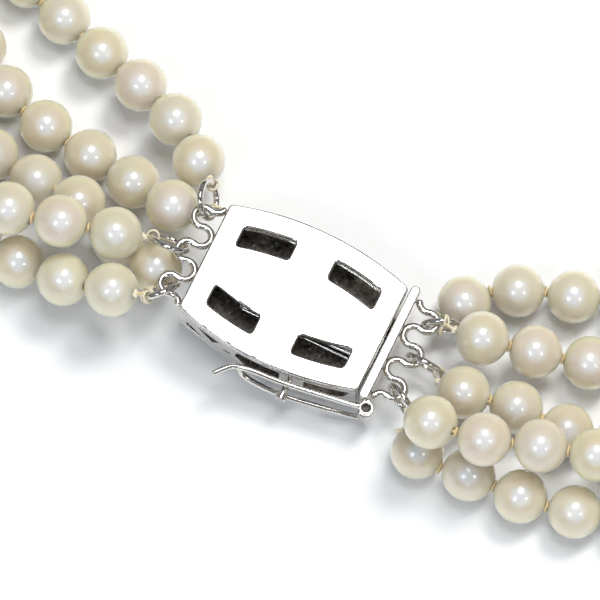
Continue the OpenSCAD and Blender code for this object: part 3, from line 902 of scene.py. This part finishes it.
def knot(at, way, radius, thickness, spin):
    """Overhand knot: a squat turned bead with the plies standing out of it."""
    sides, rings = 18, 7
    polar = np.linspace(0.12, math.pi - 0.12, rings)
    around = np.linspace(0, 2 * math.pi, sides, endpoint=False)
    a, p = np.meshgrid(around, polar)
    ply = 1 + 0.13 * np.sin(3 * a + 2.2 * p + spin)
    r = radius * np.sin(p) * ply
    points = np.stack([r * np.cos(a), r * np.sin(a), thickness * np.cos(p) * ply], -1).reshape(-1, 3)
    faces = [rows[:, ::-1] for rows in skin(rings, sides, False)]
    return placed((points, faces), along(way), at)


def plied_cord(path, radius):
    """Twisted cord of three plies along a short path."""
    plies, turn_length = 3, 1.1
    path = spaced(np.asarray(path, float), 14)
    d = run_of(path)
    ways = np.gradient(path, axis=0)
    shapes = []
    for ply in range(plies):
        angle = 2 * math.pi * (d / turn_length + ply / plies)
        line = []
        for p, way, a in zip(path, ways, angle):
            side, up = square_axes(unit(way))
            line.append(p + radius * 0.48 * (math.cos(a) * side + math.sin(a) * up))
        shapes.append(round_wire(line, radius * 0.54, 8))
    return shapes


def silk_of_strand(k, rng):
    size = sizes()
    pearl_r = size.pearl_diameter / MM / 2
    centres, ways, exits = strand_layout(k, size)
    line = [exits[0]]
    for p, way in zip(centres, ways):
        line += [p - way * pearl_r * 0.96, p + way * pearl_r * 0.96]
    line.append(exits[1])
    shapes = [(tube(line, SILK_D / 2 * 0.8, 8), 1)]
    for a, b, wa, wb in zip(centres[:-1], centres[1:], ways[:-1], ways[1:]):
        mid = ((a + wa * pearl_r) + (b - wb * pearl_r)) / 2
        radius = KNOT_R + 0.1 * rng.random()
        shapes.append((knot(mid, unit(b - a), radius, KNOT_HALF, rng.random() * 6), 1))
    ends = ((1, centres[0], -ways[0], exits[0]), (-1, centres[-1], ways[-1], exits[1]))
    for side, pearl, way, exit_at in ends:
        at, wire_way, out = tie_frame(side, k, pearl)
        end = pearl + way * pearl_r
        span = end - exit_at
        at_knot = end - unit(span) * 0.16
        shapes.append((knot(at_knot, unit(span), END_KNOT_R, END_KNOT_HALF, rng.random() * 6), 0))
        if np.linalg.norm(span) > 0.5:
            shapes += [(ply, 0) for ply in plied_cord([exit_at - out * 0.12, end], SILK_D / 2)]
        across = np.cross(wire_way, out)
        for turn in (-1, 1):
            loop = [at + turn * (TIE_SHIFT + TIE_LEAN * cosd(a)) * wire_way
                    + (TIE_R - 0.04) * (cosd(a) * out + sind(a) * across) for a in range(0, 360, 15)]
            shapes.append((tube(loop, SILK_D / 2 * 0.55, 8, closed=True), 0))
    return parts_with_zones(shapes)


class NECKLACE_OT_pearls(bpy.types.Operator):
    """String the drilled pearls of all the strands"""
    bl_idname = "necklace.pearls"
    bl_label = "Pearls"

    def execute(self, context):
        rng = np.random.default_rng(11)
        finishes = [dressed("nacre", nacre, finish())]
        for k, name in enumerate(STRANDS):
            shape, tones = string_of_pearls(k, rng)
            piece = make_piece("string_of_pearls_" + name, shape, finishes)
            layer = piece.data.attributes.new("pearl_tone", "FLOAT_COLOR", "POINT")
            layer.data.foreach_set("color", tones.ravel())
            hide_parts(("strand_" if name in TUBES else "pearls_") + name)
        return {"FINISHED"}


class NECKLACE_OT_silk(bpy.types.Operator):
    """Thread and knot the silk of all the strands and tie it to the jump rings"""
    bl_idname = "necklace.silk"
    bl_label = "Silk"

    def execute(self, context):
        rng = np.random.default_rng(5)
        colors = finish()
        silks = [dressed("twisted silk", silk, colors.silk, colors.painted_ply_shade),
                 dressed("knotted silk", silk, colors.knot, colors.painted_ply_shade)]
        for k, name in enumerate(STRANDS):
            shape, zones = silk_of_strand(k, rng)
            piece = make_piece("silk_" + name, shape, silks, zones=zones)
            if name not in TUBES:
                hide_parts("thread_" + name)
        return {"FINISHED"}


# Clasp

def peg_shape():
    profile = [(0.35, -0.3), (0.35, 1.38), (0.52, 1.4), (0.575, 1.46), (0.575, 2.1), (0.52, 2.18), (0.25, 2.2)]
    return placed(lathe(profile, 28), turn_x(90), (PEG_X, -side_y(PEG_X), -BOX_H * 0.53))


def end_wall(x, slot_half):
    """Short wall at one end of the box, with the slot that the tongue goes through."""
    outline = wall_outline(END_W / 2 - 0.12)
    slot = [(-slot_half, -3.85), (slot_half, -3.85), (slot_half, -0.9), (-slot_half, -0.9)]
    p, faces = sheet(outline, [slot] if slot_half else [], WALL_T, WALL_RIM)
    # Faces on the inner side of the end wall take the second material, painted dark as shade
    inner = np.concatenate([(p[f][:, :, 2].mean(1) < -WALL_T * 0.8) for f in faces]).astype(int)
    s = 1 if x > 0 else -1
    turned = np.stack([x + s * p[:, 2], s * p[:, 0], p[:, 1]], 1)
    return (turned, faces), inner


def flat_at(shape, height):
    """True for the faces of a sheet that lie flat at a height."""
    points, faces = shape
    return np.concatenate([abs(points[rows][:, :, 2] - height).max(1) < 0.001 for rows in faces])


class NECKLACE_OT_clasp_box(bpy.types.Operator):
    """Build the pierced box of the clasp with its loops and peg"""
    bl_idname = "necklace.clasp_box"
    bl_label = "Clasp box"

    def execute(self, context):
        windows = [window_outline(sx, sy) for sx in (-1, 1) for sy in (-1, 1)]
        back = sheet(box_outline(), windows, PLATE_T, PLATE_RIM)
        front = sheet(box_outline(), [], PLATE_T)
        raised = (front[0] + [0, 0, PLATE_T - BOX_H], front[1])
        # The inner faces of both plates take the second material, painted dark as shade
        parts = [(back, flat_at(back, -PLATE_T).astype(int)), (raised, flat_at(front, 0).astype(int))]
        # Lips are left below the far edges of the two upper windows
        for sx in (-1, 1):
            lip = sheet(strip_outline(sx, 1, LIP_X, LIP_IN), [], LIP_T, 0.02)
            parts.append(((lip[0] + [0, 0, -PLATE_T], lip[1]), 0))
        for side in (-1, 1):
            parts.append(long_wall(side))
        parts.append(end_wall(-HALF_LEN, 0))
        parts.append(end_wall(HALF_LEN, 2.95))
        parts.append((wave_wire(-1), 0))
        parts.append((peg_shape(), 0))
        shape, zones = parts_with_zones(parts)
        piece = make_piece("clasp_box_dressed", on_clasp(shape), two_metals(),
                           zones=zones, sharp=30)
        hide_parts("clasp_box")
        return {"FINISHED"}


def leaf_shape():
    """Spring tongue folded from one strip, seen from its edge and given its width."""
    tip = BAR_X - 14.8
    t, low, gap, top, rise = 0.4, 3.1, 0.35, 1.05, HALF_LEN - 2.2
    outline = [(BAR_X + 0.5, -low - t), (tip + t, -low - t), (tip, -low - t / 2), (tip, -low + gap + t / 2),
               (tip + t, -low + gap + t), (rise, -top), (rise, -top - t), (tip + t, -low + gap),
               (tip + t, -low), (BAR_X + 0.5, -low)]
    p, faces = sheet(outline, [], 5.2, 0.15)
    p, faces = sliced((p[:, [2, 0, 1]], faces), np.linspace(-4.9, -0.3, 12))
    across = -p[:, 0] - 2.6
    return np.stack([p[:, 1], across, p[:, 2] - 0.2 * (across / 2.6) ** 2], 1), faces


def bar_shape():
    half = END_W / 2
    mid = BAR_X + 0.5
    outline = [(mid + 0.5 * cosd(a), half + 0.5 * sind(a)) for a in range(0, 181, 15)]
    outline += [(mid + 0.5 * cosd(a), -half + 0.5 * sind(a)) for a in range(180, 361, 15)]
    return sheet(outline, [], BAR_H, 0.16)


def knuckle_shape():
    r, bore, half = 0.76, 0.36, 1.05
    profile = [(r, -half + 0.08), (r, half - 0.08), (r - 0.08, half), (bore + 0.05, half), (bore, half - 0.05),
               (bore, -half + 0.05), (bore + 0.05, -half), (r - 0.08, -half)]
    barrel = placed(lathe(profile, 28, closed=True), np.eye(3), (PIN_AT[0], PIN_AT[1], -2.5))
    bracket = sheet([(BAR_X + 0.5, -END_W / 2 - 0.5), (PIN_AT[0], -END_W / 2 - 0.5), (PIN_AT[0], -END_W / 2),
                     (BAR_X + 0.5, -END_W / 2)], [], 2.1, 0.05)
    return [barrel, (bracket[0] + [0, 0, -1.45], bracket[1])]


class NECKLACE_OT_clasp_tongue(bpy.types.Operator):
    """Build the tongue with its bar, folded spring leaf, loops and knuckle"""
    bl_idname = "necklace.clasp_tongue"
    bl_label = "Clasp tongue"

    def execute(self, context):
        shape = joined([leaf_shape(), bar_shape(), wave_wire(1)] + knuckle_shape())
        piece = make_piece("clasp_tongue_dressed", on_clasp(shape), two_metals()[:1],
                           sharp=30)
        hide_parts("clasp_tongue")
        return {"FINISHED"}


# Wires of the catch: where each starts at the pin, then back from the pin, out from the long side and down
UPPER_START = (-0.5, -0.05, -0.85)
CATCH_UPPER = ((-3.3, 0.05, -1.1), (-8.2, -0.6, -1.3), (-11.9, -0.9, -1.2), (-13.6, -1.2, -1.3),
               (-14.4, -1.8, -1.4), (-15.2, -2.7, -1.5))
LOWER_START = (0, 0, -4.2)
CATCH_LOWER = ((-0.8, 0.2, -4.1), (-3.3, -0.4, -3.75), (-8.2, -1.2, -3.6), (-11.1, -1.4, -3.1),
               (-12.6, -1.3, -2.6), (-13.1, -1.15, -1.9), (-12.9, -1.08, -1.3))


def catch_wire(start, points):
    along_side = np.array([PIN_AT[0], -MID_W / 2, 0]) + np.array(points, float)
    return round_wire(smooth_path(np.vstack([PIN_AT + start, along_side])), CATCH_D / 2)


def catch_pin():
    """Pin with the hollow collar on its top, painted dark as shade inside the collar."""
    r, sides = CATCH_D / 2, 28
    outside = [(0.12, -4.5), (r - 0.06, -4.5), (r, -4.44), (r, -1.36), (0.6, -1.35), (0.66, -1.29),
               (0.66, -0.56), (0.61, -0.5), (0.44, -0.5)]
    inside = [(0.38, -0.56), (0.38, -1.08), (0.34, -1.1), (0.1, -1.06)]
    profile = outside + inside
    zones = np.concatenate([np.repeat(np.arange(len(profile) - 1) >= len(outside), sides), [False, True]])
    return placed(lathe(profile, sides), np.eye(3), PIN_AT), zones.astype(int)


class NECKLACE_OT_safety_catch(bpy.types.Operator):
    """Bend the wire of the safety catch"""
    bl_idname = "necklace.safety_catch"
    bl_label = "Safety catch"

    def execute(self, context):
        shape, zones = parts_with_zones([(catch_wire(UPPER_START, CATCH_UPPER), 0),
                                         (catch_wire(LOWER_START, CATCH_LOWER), 0), catch_pin()])
        piece = make_piece("safety_catch_dressed", on_clasp(shape), two_metals(), body="catch",
                           zones=zones, sharp=50)
        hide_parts("safety_catch")
        return {"FINISHED"}


class NECKLACE_OT_jump_rings(bpy.types.Operator):
    """Close the jump rings through the loops of the clasp"""
    bl_idname = "necklace.jump_rings"
    bl_label = "Jump rings"

    def execute(self, context):
        flat = np.array([(1 + cosd(a), 0, sind(a)) for a in range(0, 360, 6)]) * RING_R
        for side, name in ((-1, "left"), (1, "right")):
            for n in range(3):
                hole, turn = ring_frame(side, n)
                circle = hole + flat @ turn.T
                piece = make_piece(f"jump_ring_{name}_{n + 1}", tube(circle, RING_D / 2, 16, closed=True),
                                   two_metals()[:1])
                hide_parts(f"ring_{name}_{n + 1}")
        return {"FINISHED"}


# Stage

def soft_box(name, toward, distance, size, power, color):
    """Round soft light that looks at the clasp from a direction."""
    light = bpy.data.lights.new(name, "AREA")
    light.shape = "DISK"
    light.size = size
    light.energy = power
    light.color = color
    z = unit(np.array(toward, float))
    x = unit(np.cross([0.01, 1.0, 0.02], z))
    holder = bpy.data.objects.new(name, light)
    holder.location = LOOK_AT + z * distance
    holder.rotation_euler = rotation_from(x, np.cross(z, x), z)
    holder.visible_camera = False
    bpy.context.scene.collection.objects.link(holder)
    return holder


def rotation_from(x, y, z):
    return Matrix(np.stack([x, y, z], 1).tolist()).to_euler()


# Room as height in the sky, red and blue: pale sweep, dark walls, a band of windows, dim ceiling
ROOM = ((0.0, 0.5, 0.5), (0.08, 0.45, 0.45), (0.2, 0.1, 0.085), (0.36, 0.12, 0.1), (0.46, 0.32, 0.34),
        (0.8, 0.32, 0.34), (0.88, 0.1, 0.085), (0.95, 0.1, 0.085), (1.0, 0.24, 0.28))
WHITE = (1.0, 0.99, 0.97)
COOL = (0.76, 0.87, 1.0)
LOOK_AT = np.array([-4.0, -68.0, 0.0]) * MM


def studio_room(brightness):
    """Room round the table, for the metal to mirror."""
    world = bpy.data.worlds.new("studio room")
    world.use_nodes = True
    nodes = Nodes(world.node_tree)
    place = nodes.add("ShaderNodeTexCoord").outputs["Generated"]
    height = nodes.add("ShaderNodeSeparateXYZ", Vector=place).outputs["Z"]
    ramp = nodes.add("ShaderNodeValToRGB", Fac=height)
    stops = ramp.color_ramp.elements
    while len(stops) < len(ROOM):
        stops.new(0.5)
    for stop, (at, red, blue) in zip(stops, ROOM):
        stop.position = at
        stop.color = (red, (red + blue) / 2, blue, 1.0)
    background = world.node_tree.nodes["Background"]
    nodes.set(background, "Color", ramp.outputs["Color"])
    nodes.set(background, "Strength", brightness)
    return world


class NECKLACE_OT_stage(bpy.types.Operator):
    """Lay the pale floor and set the soft lights and the camera"""
    bl_idname = "necklace.stage"
    bl_label = "Stage"

    def execute(self, context):
        stage = context.scene.necklace_stage
        self.lay_floor(stage)
        self.set_camera(stage, context.scene)
        self.light(stage, context.scene)
        return {"FINISHED"}

    def lay_floor(self, stage):
        sides = 96
        rings = (0.0005, 0.1, 0.3, 0.8, 3.0)
        depth = -0.02 * MM
        angles = [360 * j / sides for j in range(sides)]
        points = [(r * cosd(a), r * sind(a), depth) for r in rings for a in angles]
        faces = [tuple(row) for row in grid_faces(len(rings), sides)[:, ::-1]] + [tuple(range(sides))]
        mesh = bpy.data.meshes.new("pale_floor")
        mesh.from_pydata(points, [], faces)
        mesh.materials.append(dressed("pale floor", sweep, stage.floor))
        floor = bpy.data.objects.new("pale_floor", mesh)
        bpy.context.scene.collection.objects.link(floor)

    def set_camera(self, stage, scene):
        swing, tilt = stage.swing, stage.elevation
        right = np.array([math.cos(swing), math.sin(swing), 0.0])
        front = np.array([math.sin(swing), -math.cos(swing), 0.0])
        toward = math.cos(tilt) * front + [0.0, 0.0, math.sin(tilt)]
        camera = bpy.data.cameras.new("photo camera")
        camera.sensor_width = 36.0
        camera.lens = camera.sensor_width * stage.camera_distance / stage.view_width
        camera.clip_start = 0.01
        camera.clip_end = 20.0
        holder = bpy.data.objects.new("photo camera", camera)
        holder.location = LOOK_AT + toward * stage.camera_distance
        holder.rotation_euler = rotation_from(right, np.cross(toward, right), toward)
        scene.collection.objects.link(holder)
        scene.camera = holder

    def light(self, stage, scene):
        behind = soft_box("window behind", (0.15, 0.47, 0.87), 0.9, 0.34, stage.key, WHITE)
        fill = soft_box("low fill", (0.1, -0.9, 0.42), 0.9, 0.5, stage.fill, COOL)
        for holder in (behind, fill):
            holder.visible_glossy = False
        soft_box("soft box overhead", (0.05, 0.06, 1.0), 0.8, 0.36, stage.top, (0.96, 0.98, 1.0))
        soft_box("card front left", (-0.11, -0.62, 0.77), 0.8, 0.24, 0.76, COOL)
        soft_box("card front right", (0.61, -0.28, 0.75), 0.8, 0.14, 0.36, WHITE)
        soft_box("low card front", (0.34, -0.89, 0.29), 0.8, 0.16, 0.12, WHITE)
        soft_box("low card left", (-0.67, -0.71, 0.2), 0.8, 0.16, 0.12, WHITE)
        scene.world = studio_room(stage.room)
        scene.view_settings.view_transform = "Standard"


class NECKLACE_PT_panel(bpy.types.Panel):
    bl_label = "Pearl necklace"
    bl_idname = "NECKLACE_PT_panel"
    bl_space_type = "VIEW_3D"
    bl_region_type = "UI"
    bl_category = "Necklace"

    def draw(self, context):
        scene = context.scene
        for group in (scene.necklace_sizes, scene.necklace_finish, scene.necklace_stage):
            box = self.layout.box()
            for name in group.__annotations__:
                box.prop(group, name)
        for operator in OPERATORS:
            self.layout.operator(operator.bl_idname)


OPERATORS = (NECKLACE_OT_pearls, NECKLACE_OT_silk, NECKLACE_OT_clasp_box, NECKLACE_OT_clasp_tongue,
             NECKLACE_OT_safety_catch, NECKLACE_OT_jump_rings, NECKLACE_OT_stage)
SETTINGS = (("necklace_sizes", NECKLACE_PG_sizes), ("necklace_finish", NECKLACE_PG_finish),
            ("necklace_stage", NECKLACE_PG_stage))


def register():
    for name, group in SETTINGS:
        bpy.utils.register_class(group)
        setattr(bpy.types.Scene, name, bpy.props.PointerProperty(type=group))
    for cls in OPERATORS + (NECKLACE_PT_panel,):
        bpy.utils.register_class(cls)


def unregister():
    for cls in reversed(OPERATORS + (NECKLACE_PT_panel,)):
        bpy.utils.unregister_class(cls)
    for name, group in reversed(SETTINGS):
        delattr(bpy.types.Scene, name)
        bpy.utils.unregister_class(group)


def main():
    register()
    bpy.ops.necklace.stage()
    bpy.ops.necklace.pearls()
    bpy.ops.necklace.silk()
    bpy.ops.necklace.clasp_box()
    bpy.ops.necklace.clasp_tongue()
    bpy.ops.necklace.safety_catch()
    bpy.ops.necklace.jump_rings()


if __name__ == "__main__":
    main()
